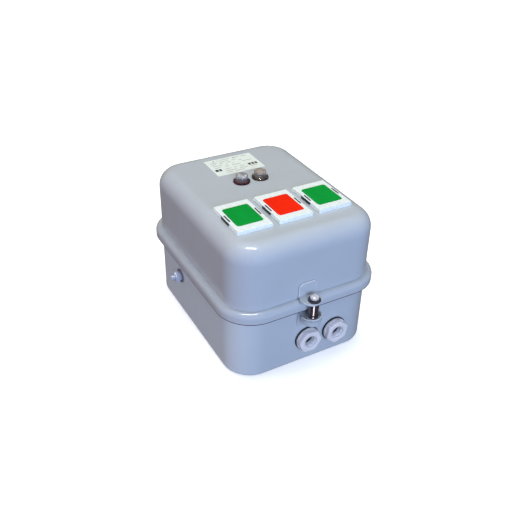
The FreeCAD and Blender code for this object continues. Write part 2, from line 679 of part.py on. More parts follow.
def overload_housing():
    body = box(RELAY_X - RELAY_W / 2, RELAY_X + RELAY_W / 2, -66, -6, CHASSIS_Z + 6, RELAY_TOP_Z)
    body = round_level(body, RELAY_TOP_Z, 1.2)
    cuts = [
        mid_box(RELAY_X + p * 0.9, -61, 8, 12, 56, RELAY_TOP_Z + 1) for p in POLES
    ]
    cuts += [
        post(RELAY_X + p * 0.9, -60, 49, 57, 2.1) for p in POLES
    ]
    cuts.append(post(DIAL_X, DIAL_Y, RELAY_TOP_Z - 2, RELAY_TOP_Z + 1, DIAL_R + 0.3))
    cuts.append(mid_box(RESET_X, DIAL_Y, 6.6, 6.6, RELAY_TOP_Z - 5, RELAY_TOP_Z + 1))
    cuts.append(mid_box(RELAY_X, -48, 34, 6, RELAY_TOP_Z - 0.8, RELAY_TOP_Z + 1))
    for pole in RELAY_POLES:
        x = CONTACTORS["forward"] + pole - 2.4
        cuts.append(mid_box(x, PRONG_Y, 3.6, 3.0, RELAY_TOP_Z - PRONG_DEPTH, RELAY_TOP_Z + 1))
    return minus(body, *cuts)


def overload_dial():
    dial = post(DIAL_X, DIAL_Y, RELAY_TOP_Z - 1.9, RELAY_TOP_Z + 1.6, DIAL_R)
    return minus(dial, mid_box(DIAL_X, DIAL_Y, 1.4, 9, RELAY_TOP_Z + 0.4, RELAY_TOP_Z + 2))


def overload_reset():
    top = RELAY_TOP_Z + 2.4
    return round_level(mid_box(RESET_X, DIAL_Y, 6.0, 6.0, RELAY_TOP_Z - 2.6, top), top, 0.8)


# ---------------------------------------------------------------- chassis and wiring


def mounting_plate():
    """A hat-section steel plate that carries the switchgear clear of the back wall."""
    t = 1.6
    z1, floor = CHASSIS_Z, INNER_FLOOR
    y0, y1 = -72.0, 93.0
    plate = box(-CHASSIS_HALF, CHASSIS_HALF, y0, y1, z1 - t, z1)
    made = [plate]
    for side in (-1, 1):
        x_in, x_out = sorted((side * (CHASSIS_HALF - t), side * CHASSIS_HALF))
        made.append(box(x_in, x_out, -62, 72, floor, z1))
        f0, f1 = sorted((side * (CHASSIS_HALF - t), side * (CHASSIS_HALF + 13)))
        made.append(box(f0, f1, -62, 72, floor, floor + t))
    holes = [post(x, y, floor - 1, floor + t + 1, 2.6) for x, y in CHASSIS_FEET]
    holes += [post(x, y, z1 - t - 1, z1 + 1, 2.1) for x, y in contactor_fixings()]
    return minus(union(*made), *holes)


def contactor_fixings():
    return [
        (x + 20 * sx, CONTACTOR_Y + 43.5 * sy)
        for x in CONTACTORS.values()
        for sx in (-1, 1)
        for sy in (-1, 1)
    ]


def chassis_screws():
    """Screws of the plate's feet and of the contactors' feet."""
    floor = INNER_FLOOR + 1.6
    feet = [slotted_screw(x, y, floor, 4.6, 3.0, 2.4, 1.6) for x, y in CHASSIS_FEET]
    fixings = [
        slotted_screw(x, y, CHASSIS_Z + 4, 3.4, 2.2, 1.9, 7.5) for x, y in contactor_fixings()
    ]
    return group(*feet, *fixings)


def relay_prong(pole):
    """A copper pin from the overload relay onto a contactor's load terminal."""
    x = CONTACTORS["forward"] + pole - 2.4
    foot = mid_box(x, PRONG_Y, 3.6, 3.0, RELAY_TOP_Z - PRONG_DEPTH, STRIP_Z + 3.2)
    arm_z = STRIP_Z + 2 + SEAT_GAP
    arm = box(x - 1.8, x + 1.8, PRONG_Y - 1.5, CONTACTOR_Y - 37, arm_z, STRIP_Z + 3.2)
    return union(foot, arm)


def busbar_link(pole_a, pole_b, end, lane):
    """A rigid bar from a forward pole, over the other poles' ends, to a reverse pole."""
    strip_end = CONTACTOR_Y + end * 37.2
    bar_y = CONTACTOR_Y + end * (42.5 + 3.0 * lane)
    outer_y = bar_y + end * LINK_T
    ends = (CONTACTORS["forward"] + pole_a + 1.9, CONTACTORS["reverse"] + pole_b + 1.9)
    foot_z = STRIP_Z + 2.1
    pieces = []
    for x in ends:
        x0, x1 = x - LINK_W / 2, x + LINK_W / 2
        pieces.append(box(x0, x1, *sorted((strip_end, outer_y)), foot_z, foot_z + LINK_T))
        pieces.append(box(x0, x1, *sorted((bar_y, outer_y)), foot_z, LINK_TOP_Z))
    span = (ends[0] - LINK_W / 2, ends[1] + LINK_W / 2)
    bar = box(*span, *sorted((bar_y, outer_y)), LINK_TOP_Z - 7.0, LINK_TOP_Z)
    return union(bar, *pieces)


def busbar_links():
    """Line side in phase order, load side with two phases crossed over for reverse."""
    line = [busbar_link(p, p, 1, lane) for lane, p in enumerate(RELAY_POLES)]
    crossed = zip(RELAY_POLES, RELAY_POLES[::-1])
    load = [busbar_link(p, q, -1, lane) for lane, (p, q) in enumerate(crossed)]
    return group(*line, *load)


def block_ways():
    """The x of each way's centre."""
    pitch = (BLOCK_X[1] - BLOCK_X[0]) / BLOCK_WAYS
    return [BLOCK_X[0] + pitch * (k + 0.5) for k in range(BLOCK_WAYS)]


def terminal_block():
    """The control terminal strip: a moulding with a stepped wire entry on both sides."""
    mid_y = sum(BLOCK_Y) / 2
    body = box(*BLOCK_X, *BLOCK_Y, CHASSIS_Z, BLOCK_TOP_Z)
    cuts = []
    for side in (-1, 1):
        step_y = mid_y + side * 13
        cuts.append(box(BLOCK_X[0] - 1, BLOCK_X[1] + 1, *sorted((step_y, step_y - side * 4)),
                        BLOCK_TOP_Z - 6, BLOCK_TOP_Z + 1))
        for x in block_ways():
            cuts.append(mid_box(x, mid_y + side * 10, 4.2, 8, BLOCK_TOP_Z - 12, BLOCK_TOP_Z - 7.5))
            cuts.append(post(x, mid_y + side * 5.0, BLOCK_TOP_Z - 6, BLOCK_TOP_Z + 1, 2.0))
    return minus(body, *cuts)


# ---------------------------------------------------------------- nodes


def nodes():
    made = {
        "base_shell": base_shell(),
        "cover_shell": cover_shell(),
        "cover_gasket": cover_gasket(),
        "rating_label": rating_label(),
        "hinge_base_leaf": hinge_base_leaf(),
        "hinge_cover_leaf": hinge_cover_leaf(),
        "hinge_pin": hinge_pin(),
        "latch_cover_lug": latch_cover_lug(),
        "latch_base_lug": latch_base_lug(),
        "latch_post": latch_post(),
        "closure_washer": closure_washer(),
        "closure_screw": closure_screw(),
        "gland_bodies": group(*map(gland_body, GLAND_X)),
        "gland_caps": gland_caps(),
        "gland_gaskets": group(*map(gland_gasket, GLAND_X)),
        "gland_seals": group(*map(gland_seal, GLAND_X)),
        "gland_locknuts": group(*map(gland_locknut, GLAND_X)),
        "earth_terminal": earth_terminal(),
        "mounting_plate": mounting_plate(),
        "chassis_screws": chassis_screws(),
        "interlock_module": interlock_module(),
        "overload_housing": overload_housing(),
        "overload_dial": overload_dial(),
        "overload_reset": overload_reset(),
        "busbar_links": busbar_links(),
        "terminal_block": terminal_block(),
        "lamp_lenses": group(*map(lens, LAMPS.values())),
        "lamp_holders": group(*map(lamp_holder, LAMPS.values())),
        "lamp_bulbs": group(*map(lamp_bulb, LAMPS.values())),
        "fixed_cores": group(*map(fixed_core, CONTACTORS.values())),
        "coils": group(*map(coil, CONTACTORS.values())),
    }
    for name, x in BUTTONS.items():
        for make in (bezel, cap, button_spring, contact_block, contact_bridge):
            made[f"{make.__name__}_{name}"] = make(x)
    moulded = (contactor_base, contactor_head, contact_carrier, armature_core)
    for name, x in CONTACTORS.items():
        for make in (*moulded, moving_contacts, return_spring):
            made[f"{make.__name__}_{name}"] = make(x)
    strips, screws = [], []
    for x in CONTACTORS.values():
        for pole in POLES:
            for end in (-1, 1):
                strips.append(fixed_contact(x, pole, end))
                screws += terminal_screw(x + pole, CONTACTOR_Y + end * 33, STRIP_Z + 2)
    for pole in POLES:
        screws += terminal_screw(RELAY_X + pole * 0.9, -60, 56)
    strips += [relay_prong(pole) for pole in RELAY_POLES]
    made["fixed_contacts"] = group(*strips)
    made["terminal_screws"] = group(*screws)
    return made


def main():
    os.makedirs("parts", exist_ok=True)
    for name, shape in nodes().items():
        solids = shape.Solids
        if not solids or not all(s.isValid() and s.Volume > 0 for s in solids):
            raise ValueError(f"{name} isn't made of valid solids")
        if shape.ShapeType == "Compound" and len(solids) == 1:
            shape = solids[0]
        shape.exportStep(f"parts/{name}.step")


main()
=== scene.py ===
"""Looks of an enclosed reversing motor starter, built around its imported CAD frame.

All lengths are in metres and all positions are in the frame of the CAD model: +Z points out of the
wall towards the cover, -Y is the side with the cable glands and the closure screw, and -X is the
side with the earth terminal.
"""

import json
import math

import bmesh
import bpy
from mathutils import Matrix, Vector


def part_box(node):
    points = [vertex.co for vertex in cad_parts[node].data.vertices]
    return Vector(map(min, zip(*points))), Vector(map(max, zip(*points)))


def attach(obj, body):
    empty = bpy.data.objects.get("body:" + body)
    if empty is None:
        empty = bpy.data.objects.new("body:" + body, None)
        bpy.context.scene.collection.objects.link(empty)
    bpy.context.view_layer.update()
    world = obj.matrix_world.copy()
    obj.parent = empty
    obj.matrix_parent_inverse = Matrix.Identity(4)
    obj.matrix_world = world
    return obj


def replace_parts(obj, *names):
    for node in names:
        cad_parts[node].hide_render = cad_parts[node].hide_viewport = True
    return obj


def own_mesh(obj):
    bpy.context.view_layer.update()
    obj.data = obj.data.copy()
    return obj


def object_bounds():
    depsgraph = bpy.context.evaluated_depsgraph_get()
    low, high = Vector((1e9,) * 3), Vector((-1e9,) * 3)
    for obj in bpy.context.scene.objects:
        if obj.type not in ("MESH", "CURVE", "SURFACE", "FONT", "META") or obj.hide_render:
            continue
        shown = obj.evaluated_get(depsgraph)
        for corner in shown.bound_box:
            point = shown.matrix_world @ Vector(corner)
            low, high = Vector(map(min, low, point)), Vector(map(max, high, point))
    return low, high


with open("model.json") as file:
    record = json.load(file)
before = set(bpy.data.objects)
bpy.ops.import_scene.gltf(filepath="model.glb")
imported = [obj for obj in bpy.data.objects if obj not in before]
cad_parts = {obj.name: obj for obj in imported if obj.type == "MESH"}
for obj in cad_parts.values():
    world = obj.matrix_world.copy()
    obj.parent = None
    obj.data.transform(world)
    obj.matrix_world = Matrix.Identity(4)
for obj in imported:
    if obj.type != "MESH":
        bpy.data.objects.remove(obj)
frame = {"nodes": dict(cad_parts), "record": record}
cad_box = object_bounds()
cover_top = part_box("cover_shell")[1].z

MM = 0.001
X_AXIS, Y_AXIS, Z_AXIS = Vector((1, 0, 0)), Vector((0, 1, 0)), Vector((0, 0, 1))
WAVE_LENGTH = 0.314  # of a wave texture whose scale is 1
PAINTED_EDGE_R = 1.0 * MM
LUG_PLATE_HALF_WIDTH = 9.6 * MM
RIM_CORNER_R = 38.4  # mm, of the cover's bead seen from above
GLAND_ACROSS_FLATS, GLAND_CORNER_R = 24.4, 4.6  # mm
EARTH_WALL_INSET = 3.9 * MM  # from the base's widest point to its flat side wall
SIDES = ("forward", "stop", "reverse")


# ---------------------------------------------------------------- material kit


class Look:
    """A node material around one Principled shader, with its detail laid out in object space."""

    def __init__(self, name, **sockets):
        self.material = bpy.data.materials.new(name)
        self.material.use_nodes = True
        self.tree = self.material.node_tree
        self.shader = self.tree.nodes["Principled BSDF"]
        self.place = self.tree.nodes.new("ShaderNodeTexCoord").outputs["Object"]
        for socket, value in sockets.items():
            self.shader.inputs[socket.replace("_", " ")].default_value = value

    def node(self, kind, links=(), **settings):
        made = self.tree.nodes.new(kind)
        for key, value in settings.items():
            setattr(made, key, value)
        for socket, source in dict(links).items():
            if isinstance(source, bpy.types.NodeSocket):
                self.tree.links.new(source, made.inputs[socket])
            else:
                made.inputs[socket].default_value = source
        return made

    def stretched(self, factors):
        """Object coordinates with each axis multiplied by its factor."""
        return self.node("ShaderNodeMapping", {"Vector": self.place, "Scale": factors}).outputs[0]

    def noise(self, size, detail=2.0, stretch=None):
        """Soft noise, from 0 to 1, whose features are about size across."""
        place = self.stretched(stretch) if stretch else self.place
        links = {"Vector": place, "Scale": 1 / size, "Detail": detail}
        return self.node("ShaderNodeTexNoise", links).outputs["Fac"]

    def bands(self, size, direction):
        """Parallel lines, size apart, across the X, Y or Z direction."""
        made = self.node(
            "ShaderNodeTexWave",
            {"Vector": self.place, "Scale": WAVE_LENGTH / size},
            bands_direction=direction,
        )
        return made.outputs["Fac"]

    def remap(self, value, low, high, from_low=0.3, from_high=0.7):
        links = {"Value": value, "From Min": from_low, "From Max": from_high}
        links.update({"To Min": low, "To Max": high})
        return self.node("ShaderNodeMapRange", links).outputs["Result"]

    def mix(self, share, first, second):
        """A colour between first, where share is 0, and second, where it is 1."""
        made = self.node("ShaderNodeMix", data_type="RGBA")
        for socket, source in (("Factor_Float", share), ("A_Color", first), ("B_Color", second)):
            target = next(s for s in made.inputs if s.identifier == socket)
            if isinstance(source, bpy.types.NodeSocket):
                self.tree.links.new(source, target)
            else:
                target.default_value = (*source, 1.0) if len(source) == 3 else source
        return next(s for s in made.outputs if s.identifier == "Result_Color")

    def bump(self, height, distance, strength=1.0, under=None):
        links = {"Height": height, "Distance": distance, "Strength": strength}
        if under is not None:
            links["Normal"] = under
        return self.node("ShaderNodeBump", links).outputs["Normal"]

    def drive(self, socket, source):
        self.tree.links.new(source, self.shader.inputs[socket])
        return self


def shade(colour, factor):
    return tuple(min(1.0, part * factor) for part in colour)


# ---------------------------------------------------------------- materials


def paint(name, colour):
    """Stoved enamel: slightly uneven in tone, with a fine orange peel and a thin clear gloss."""
    look = Look(name, Coat_Weight=0.8, Coat_Roughness=0.03, Specular_IOR_Level=0.3)
    tone = look.remap(look.noise(55 * MM, 3), 0, 1)
    dust = look.remap(look.noise(2.2 * MM, 3), 0, 0.35, 0.45, 0.8)
    base = look.mix(tone, shade(colour, 0.975), shade(colour, 1.02))
    look.drive("Base Color", look.mix(dust, base, shade(colour, 0.93)))
    look.drive("Roughness", look.remap(look.noise(14 * MM, 4), 0.30, 0.42))
    peel = look.noise(1.6 * MM, 1)
    waves = look.noise(38 * MM, 1)
    swell = look.bump(waves, 0.5 * MM, 0.35)
    look.drive("Normal", look.bump(peel, 0.035 * MM, 0.6, swell))
    return look.material


def moulded(name, colour, roughness=0.38, grain=0.5, depth=0.02, spread=0.06, **sockets):
    """Injection moulded plastic: a fine spark-eroded grain and faint flow marks."""
    look = Look(name, **sockets)
    flow = look.remap(look.noise(11 * MM, 3, stretch=(1.0, 0.45, 1.0)), 0, 1)
    look.drive("Base Color", look.mix(flow, shade(colour, 1 - spread), shade(colour, 1 + spread)))
    look.drive("Roughness", look.remap(look.noise(3.5 * MM, 3), roughness - 0.05, roughness + 0.07))
    look.drive("Normal", look.bump(look.noise(grain * MM, 2), depth * MM, 0.7))
    return look.material


def plated(name, colour, tint, roughness, brush=(1, 1, 8), share=1.0):
    """Plated steel: a cloudy tint in the passivation and faint rubbing marks."""
    look = Look(name, Metallic=share)
    cloud = look.remap(look.noise(2.6 * MM, 4), 0, 1)
    look.drive("Base Color", look.mix(cloud, colour, tint))
    rubbed = look.noise(0.9 * MM, 4, stretch=brush)
    look.drive("Roughness", look.remap(rubbed, roughness - 0.07, roughness + 0.10))
    look.drive("Normal", look.bump(rubbed, 0.012 * MM, 0.5))
    return look.material


def rubber(name, colour):
    look = Look(name, Specular_IOR_Level=0.35)
    bloom = look.remap(look.noise(6 * MM, 5), 0, 1, 0.4, 0.8)
    look.drive("Base Color", look.mix(bloom, colour, shade(colour, 1.9)))
    look.drive("Roughness", look.remap(look.noise(2 * MM, 3), 0.55, 0.75))
    look.drive("Normal", look.bump(look.noise(0.35 * MM, 2), 0.03 * MM, 0.8))
    return look.material


def clear(name, colour, roughness=0.04, ior=1.49, share=1.0):
    """Clear moulded acrylic or lamp glass, with faint moulding waves."""
    look = Look(name, Transmission_Weight=share, IOR=ior)
    look.drive("Base Color", look.mix(look.remap(look.noise(2 * MM, 2), 0, 1), colour, shade(colour, 0.93)))
    look.drive("Roughness", look.remap(look.noise(1.5 * MM, 2), roughness, roughness + 0.05))
    look.drive("Normal", look.bump(look.noise(2.5 * MM, 1), 0.05 * MM, 0.5))
    return look.material


def tinted(name, foot, crown, low, high):
    """Clear acrylic that darkens towards its foot, with low and high measured from the cover's top."""
    look = Look(name, Transmission_Weight=0.9, IOR=1.3, Roughness=0.06)
    height = look.node("ShaderNodeSeparateXYZ", {"Vector": look.place}).outputs["Z"]
    share = look.remap(height, 0.0, 1.0, cover_top + low, cover_top + high)
    cloud = look.remap(look.noise(1.8 * MM, 3), -0.12, 0.12)
    share = look.node("ShaderNodeMath", {0: share, 1: cloud}, operation="ADD").outputs[0]
    look.drive("Base Color", look.mix(share, foot, crown))
    look.drive("Normal", look.bump(look.noise(2.5 * MM, 1), 0.05 * MM, 0.5))
    return look.material


def laminated(name, colour):
    """Bare magnet steel, stacked from sheets along Y."""
    look = Look(name, Metallic=1.0)
    sheets = look.bands(0.7 * MM, "Y")
    oxide = look.remap(look.noise(4 * MM, 5), 0, 1, 0.45, 0.75)
    bare = look.mix(oxide, colour, (0.20, 0.17, 0.15))
    look.drive("Base Color", look.mix(look.remap(sheets, 0.0, 0.55, 0.0, 0.25), shade(colour, 0.35), bare))
    look.drive("Roughness", look.remap(look.noise(1.2 * MM, 4), 0.34, 0.52))
    look.drive("Normal", look.bump(sheets, 0.05 * MM, 0.7))
    return look.material


def tape(name, colour):
    """Varnished insulating tape, wound round a coil in lapped turns along Z."""
    look = Look(name, Coat_Weight=0.3, Coat_Roughness=0.2)
    laps = look.bands(4.2 * MM, "Z")
    crease = look.noise(2.4 * MM, 4, stretch=(1, 1, 3))
    look.drive("Base Color", look.mix(laps, shade(colour, 0.8), shade(colour, 1.1)))
    look.drive("Roughness", look.remap(crease, 0.32, 0.5))
    look.drive("Normal", look.bump(crease, 0.06 * MM, 0.6, look.bump(laps, 0.1 * MM, 0.5)))
    return look.material


def film(name, colour):
    """Matt printed film with the paper-like tooth of its laminate."""
    look = Look(name, Specular_IOR_Level=0.4)
    tone = look.remap(look.noise(9 * MM, 4), 0, 1)
    look.drive("Base Color", look.mix(tone, shade(colour, 0.97), shade(colour, 1.02)))
    look.drive("Roughness", look.remap(look.noise(3 * MM, 3), 0.42, 0.55))
    look.drive("Normal", look.bump(look.noise(0.6 * MM, 2), 0.012 * MM, 0.6))
    return look.material


PAINT = (0.466, 0.505, 0.545)
looks = {
    "enclosure_paint": paint("enclosure_paint", PAINT),
    "rubber_black": rubber("rubber_black", (0.018, 0.017, 0.018)),
    "label_film": film("label_film", (0.74, 0.79, 0.75)),
    "zinc_steel": plated("zinc_steel", (0.78, 0.80, 0.84), (0.66, 0.71, 0.80), 0.30, share=0.75),
    "dark_steel": plated("dark_steel", (0.17, 0.15, 0.17), (0.24, 0.20, 0.22), 0.15),
    "gland_plastic": moulded("gland_plastic", (0.76, 0.72, 0.72), 0.34),
    "bezel_white": moulded("bezel_white", (0.80, 0.86, 0.85), 0.27, 0.4, 0.004, 0.012),
    "cap_green": moulded("cap_green", (0.001, 0.290, 0.036), 0.55, 0.8, 0.05, Specular_IOR_Level=0.08),
    "cap_red": moulded("cap_red", (0.86, 0.018, 0.001), 0.55, 0.8, 0.05, Specular_IOR_Level=0.08),
    "block_grey": moulded("block_grey", (0.055, 0.060, 0.068), 0.45),
    "spring_steel": plated("spring_steel", (0.52, 0.52, 0.53), (0.42, 0.42, 0.44), 0.28),
    "silvered_brass": plated("silvered_brass", (0.80, 0.62, 0.33), (0.76, 0.72, 0.62), 0.30),
    "lens_clear": clear("lens_clear", (0.90, 0.86, 0.83), 0.07, 1.28, 0.82),
    "lamp_holder_plastic": moulded("lamp_holder_plastic", (0.012, 0.012, 0.013), 0.40),
    "lamp_glass": clear("lamp_glass", (0.80, 0.74, 0.70), 0.02, 1.5),
    "contactor_moulding": moulded("contactor_moulding", (0.030, 0.031, 0.034), 0.48),
    "contactor_front": moulded("contactor_front", (0.36, 0.37, 0.37), 0.44),
    "core_steel": laminated("core_steel", (0.40, 0.40, 0.41)),
    "coil_tape": tape("coil_tape", (0.42, 0.27, 0.035)),
    "carrier_moulding": moulded("carrier_moulding", (0.28, 0.035, 0.018), 0.46),
    "copper_bar": plated("copper_bar", (0.78, 0.45, 0.30), (0.62, 0.40, 0.30), 0.30),
    "relay_moulding": moulded("relay_moulding", (0.040, 0.041, 0.044), 0.46),
    "dial_yellow": moulded("dial_yellow", (0.76, 0.50, 0.02), 0.34),
    "reset_blue": moulded("reset_blue", (0.010, 0.055, 0.42), 0.34),
    "link_copper": plated("link_copper", (0.76, 0.42, 0.27), (0.58, 0.33, 0.24), 0.28),
    "block_beige": moulded("block_beige", (0.56, 0.50, 0.38), 0.44),
}
# Dark brown rubber for the lip under the cover's bead: a painted shadow line.
painted_shadow_rubber = rubber("painted_shadow_rubber", (0.060, 0.030, 0.030))
# The gland sleeves' light plastic, made paler still to stand for light reaching into the gland mouths:
# partly painted light.
sleeve_painted_light = moulded("sleeve_painted_light", (0.90, 0.89, 0.90), 0.45)
# A lighter copy of the enclosure paint for the lug edges and tongue rims: painted highlight.
highlight_paint = paint("highlight_paint", (0.62, 0.65, 0.69))
printed_ink = moulded("printed_ink", (0.028, 0.030, 0.034), 0.5, grain=0.3)
faint_ink = moulded("faint_ink", (0.30, 0.32, 0.31), 0.5, grain=0.3)
# Near-black plated steel for the closure washer and the spring ring under the screw head.
near_black_zinc = plated("near_black_zinc", (0.045, 0.042, 0.050), (0.11, 0.10, 0.12), 0.42, share=0.4)
# Pale, mostly diffuse plated steel for the closure screw, lightened to stand for the bright reflection on
# its head: painted highlight.
zinc_painted_highlight = plated("zinc_painted_highlight", (0.92, 0.87, 0.87), (0.80, 0.74, 0.76), 0.26, share=0.35)
# Dark brownish plated steel for the earth washer.
dark_brown_zinc = plated("dark_brown_zinc", (0.20, 0.15, 0.18), (0.34, 0.30, 0.36), 0.45, share=0.3)
# Plated steel for the earth hardware, lightened to make up for the little light on that side: painted light.
zinc_painted_light = plated("zinc_painted_light", (0.74, 0.80, 0.92), (0.56, 0.62, 0.76), 0.34, share=0.35)
# Near-black moulding for the discs deep in the gland bores: painted shade.
painted_bore_shade = moulded("painted_bore_shade", (0.020, 0.020, 0.024), 0.6)
lamp_filters = {
    "forward": moulded("maroon_filter", (0.070, 0.003, 0.010), 0.25),
    "reverse": moulded("olive_filter", (0.075, 0.050, 0.028), 0.25),
}
lamp_frosts = {
    "forward": moulded("clear_frost", (0.36, 0.36, 0.37), 0.4, spread=0.35),
    "reverse": moulded("olive_frost", (0.27, 0.23, 0.19), 0.4, spread=0.35),
}
lamp_collars = {
    "forward": moulded("maroon_collar", (0.060, 0.012, 0.018), 0.35, spread=0.7),
    "reverse": moulded("olive_collar", (0.065, 0.048, 0.036), 0.35, spread=0.6),
}
lens_looks = {
    "forward": tinted("maroon_lens", (0.16, 0.012, 0.03), (1.0, 1.0, 1.0), 1.5 * MM, 4.5 * MM),
    "reverse": tinted("olive_lens", (0.22, 0.15, 0.10), (0.98, 0.92, 0.86), 1 * MM, 5 * MM),
}


def dress_nodes():
    """Gives every CAD node the look of its material slot."""
    special = {"closure_washer": near_black_zinc}
    for part in frame["record"]["subparts"]:
        node = part["node"]
        mesh = frame["nodes"][node].data
        mesh.materials.clear()
        mesh.materials.append(special.get(node, looks[part["material_slot"]]))


# ---------------------------------------------------------------- mesh kit


class Shape:
    """Collects vertices and faces of closed forms, and turns them into one piece."""

    def __init__(self):
        self.vertices = []
        self.faces = []

    def sweep(self, stations, section, scale=None):
        """Carries a closed section through stations, each an origin with its two directions."""
        first, count = len(self.vertices), len(section)
        for k, (origin, u, v) in enumerate(stations):
            grow = scale(k / (len(stations) - 1)) if scale else 1.0
            self.vertices += [origin + u * (a * grow) + v * (b * grow) for a, b in section]
        return self.skin(first, count, len(stations))

    def skin(self, first, count, total, hollow=False):
        """Joins rings of count vertices, and closes the ends, or joins the last ring to the first."""
        for k in range(total if hollow else total - 1):
            near, far = first + k * count, first + (k + 1) % total * count
            for i in range(count):
                j = (i + 1) % count
                self.faces.append((near + i, near + j, far + j, far + i))
        if not hollow:
            last = first + (total - 1) * count
            self.faces.append(tuple(first + i for i in reversed(range(count))))
            self.faces.append(tuple(last + i for i in range(count)))
        return self

    def lathe(self, centre, axis, profile, segments=64):
        """Turns a profile of (radius, height) points in millimetres about an axis.

        A profile that starts on the axis ends on it too. Any other is closed into a hollow ring.
        """
        side = axis.orthogonal().normalized()
        other = axis.cross(side)
        rings = []
        for radius, height in in_mm(profile):
            middle = centre + axis * height
            if radius < 1e-9:
                rings.append([len(self.vertices)])
                self.vertices.append(middle)
                continue
            rings.append(list(range(len(self.vertices), len(self.vertices) + segments)))
            for k in range(segments):
                a = 2 * math.pi * k / segments
                self.vertices.append(middle + side * radius * math.cos(a) + other * radius * math.sin(a))
        hollow = profile[0][0] > 0
        for low, high in zip(rings, rings[1:] + rings[:1] if hollow else rings[1:]):
            for k in range(segments):
                n = (k + 1) % segments
                corners = [low[k % len(low)], low[n % len(low)], high[n % len(high)], high[k % len(high)]]
                self.faces.append(tuple(dict.fromkeys(corners)))
        return self

    def loft(self, outlines, hollow=False):
        """Joins closed outlines of equal length into a form with flat ends, or into a hollow ring."""
        first = len(self.vertices)
        for outline in outlines:
            self.vertices += outline
        return self.skin(first, len(outlines[0]), len(outlines), hollow)

    def cut(self, point, normal):
        """Keeps what lies on the side of a plane that the normal points to, and closes the cut."""
        work = bmesh.new()
        corners = [work.verts.new(v) for v in self.vertices]
        for face in self.faces:
            work.faces.new([corners[i] for i in face])
        everything = [*work.verts, *work.edges, *work.faces]
        bmesh.ops.bisect_plane(work, geom=everything, plane_co=point, plane_no=normal, clear_inner=True)
        rim = [e for e in work.edges if len(e.link_faces) == 1]
        bmesh.ops.holes_fill(work, edges=rim, sides=0)
        work.verts.index_update()
        self.vertices = [v.co.copy() for v in work.verts]
        self.faces = [tuple(v.index for v in f.verts) for f in work.faces]
        work.free()
        return self

    def add(self, other):
        first = len(self.vertices)
        self.vertices += other.vertices
        self.faces += [tuple(first + i for i in face) for face in other.faces]
        return self

    def piece(self, name, body, material, slot=None, sharp=40):
        """Makes the object: smooth faces, with edges sharper than the given angle kept crisp."""
        mesh = bpy.data.meshes.new(name)
        mesh.from_pydata([tuple(v) for v in self.vertices], [], self.faces)
        work = bmesh.new()
        work.from_mesh(mesh)
        bmesh.ops.remove_doubles(work, verts=work.verts, dist=1e-7)
        bmesh.ops.recalc_face_normals(work, faces=work.faces)
        limit = math.radians(sharp)
        for face in work.faces:
            face.smooth = True
        for edge in work.edges:
            edge.smooth = len(edge.link_faces) == 2 and edge.calc_face_angle() < limit
        work.to_mesh(mesh)
        work.free()
        mesh.materials.append(material)
        obj = bpy.data.objects.new(name, mesh)
        bpy.context.scene.collection.objects.link(obj)
        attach(obj, body)
        return obj


def in_mm(points):
    """Pairs in metres from pairs in millimetres."""
    return [(a * MM, b * MM) for a, b in points]


def ring(radius, count):
    """A round section."""
    turns = (2 * math.pi * k / count for k in range(count))
    return [(radius * math.cos(a), radius * math.sin(a)) for a in turns]


def round_rect(cx, cy, half_x, half_y, r, steps=5):
    """The (x, y) points of a rounded rectangle, counter-clockwise."""
    corners = ((1, 1, 0), (-1, 1, 90), (-1, -1, 180), (1, -1, 270))
    points = []
    for sx, sy, start in corners:
        for k in range(steps + 1):
            a = math.radians(start + 90 * k / steps)
            x, y = cx + sx * (half_x - r), cy + sy * (half_y - r)
            points.append((x + r * math.cos(a), y + r * math.sin(a)))
    return points


def flat_directions(a):
    """The radial and the sideways direction at an angle about the Z axis."""
    radial = Vector((math.cos(a), math.sin(a), 0))
    return radial, Vector((-math.sin(a), math.cos(a), 0))


def at_height(points, z):
    return [Vector((x, y, z)) for x, y in points]


def turn_stations(centre, axis, radius, heights, turns, steps=36):
    """Stations along a screw line. heights maps the share of the way to a height along the axis."""
    side = axis.orthogonal().normalized()
    other = axis.cross(side)
    count = int(turns * steps)
    stations = []
    for k in range(count + 1):
        a = 2 * math.pi * turns * k / count
        radial = side * math.cos(a) + other * math.sin(a)
        stations.append((centre + radial * radius + axis * heights(k / count), radial, axis))
    return stations


def thread(shape, centre, axis, core_r, crest_r, length, pitch):
    """A screw thread: a wedge wound round the core, tapering away at both ends."""
    half = pitch * 0.42
    depth = crest_r - core_r
    section = [(-depth * 0.5, -half), (depth, -half * 0.16), (depth, half * 0.16), (-depth * 0.5, half)]
    turns = (length - pitch) / pitch
    taper = 0.5 / turns

    def scale(t):
        return max(0.02, min(1.0, t / taper, (1 - t) / taper))

    stations = turn_stations(centre, axis, core_r, lambda t: pitch / 2 + t * (length - pitch), turns, 30)
    return shape.sweep(stations, section, scale=scale)


def corners_of(node):
    low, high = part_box(node)
    return low, high, (low + high) / 2


# ---------------------------------------------------------------- springs


def coil_piece(node, body, wire, turns, name):
    """A compression spring with closed ends, in the place of its CAD node."""
    low, high, middle = corners_of(node)
    radius = (high.x - low.x) / 2 - wire
    height = high.z - low.z - 2 * wire
    dead = 2.1 * wire

    def heights(t):
        end = 1 / turns
        if t < end:
            return dead * t / end
        if t > 1 - end:
            return height - dead * (1 - t) / end
        return dead + (height - 2 * dead) * (t - end) / (1 - 2 * end)

    start = Vector((middle.x, middle.y, low.z + wire))
    shape = Shape()
    shape.sweep(turn_stations(start, Z_AXIS, radius, heights, turns, 40), ring(wire, 12))
    obj = shape.piece(name, body, looks["spring_steel"], "spring_steel", sharp=80)
    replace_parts(obj, node)
    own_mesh(obj)


def springs():
    for side in SIDES:
        node, name = f"button_spring_{side}", f"button_spring_wire_{side}"
        coil_piece(node, "cover", 0.45 * MM, 6.5, name)
    for side in ("forward", "reverse"):
        node, name = f"return_spring_{side}", f"return_spring_wire_{side}"
        coil_piece(node, "base", 0.6 * MM, 4, name)


# ---------------------------------------------------------------- cover details


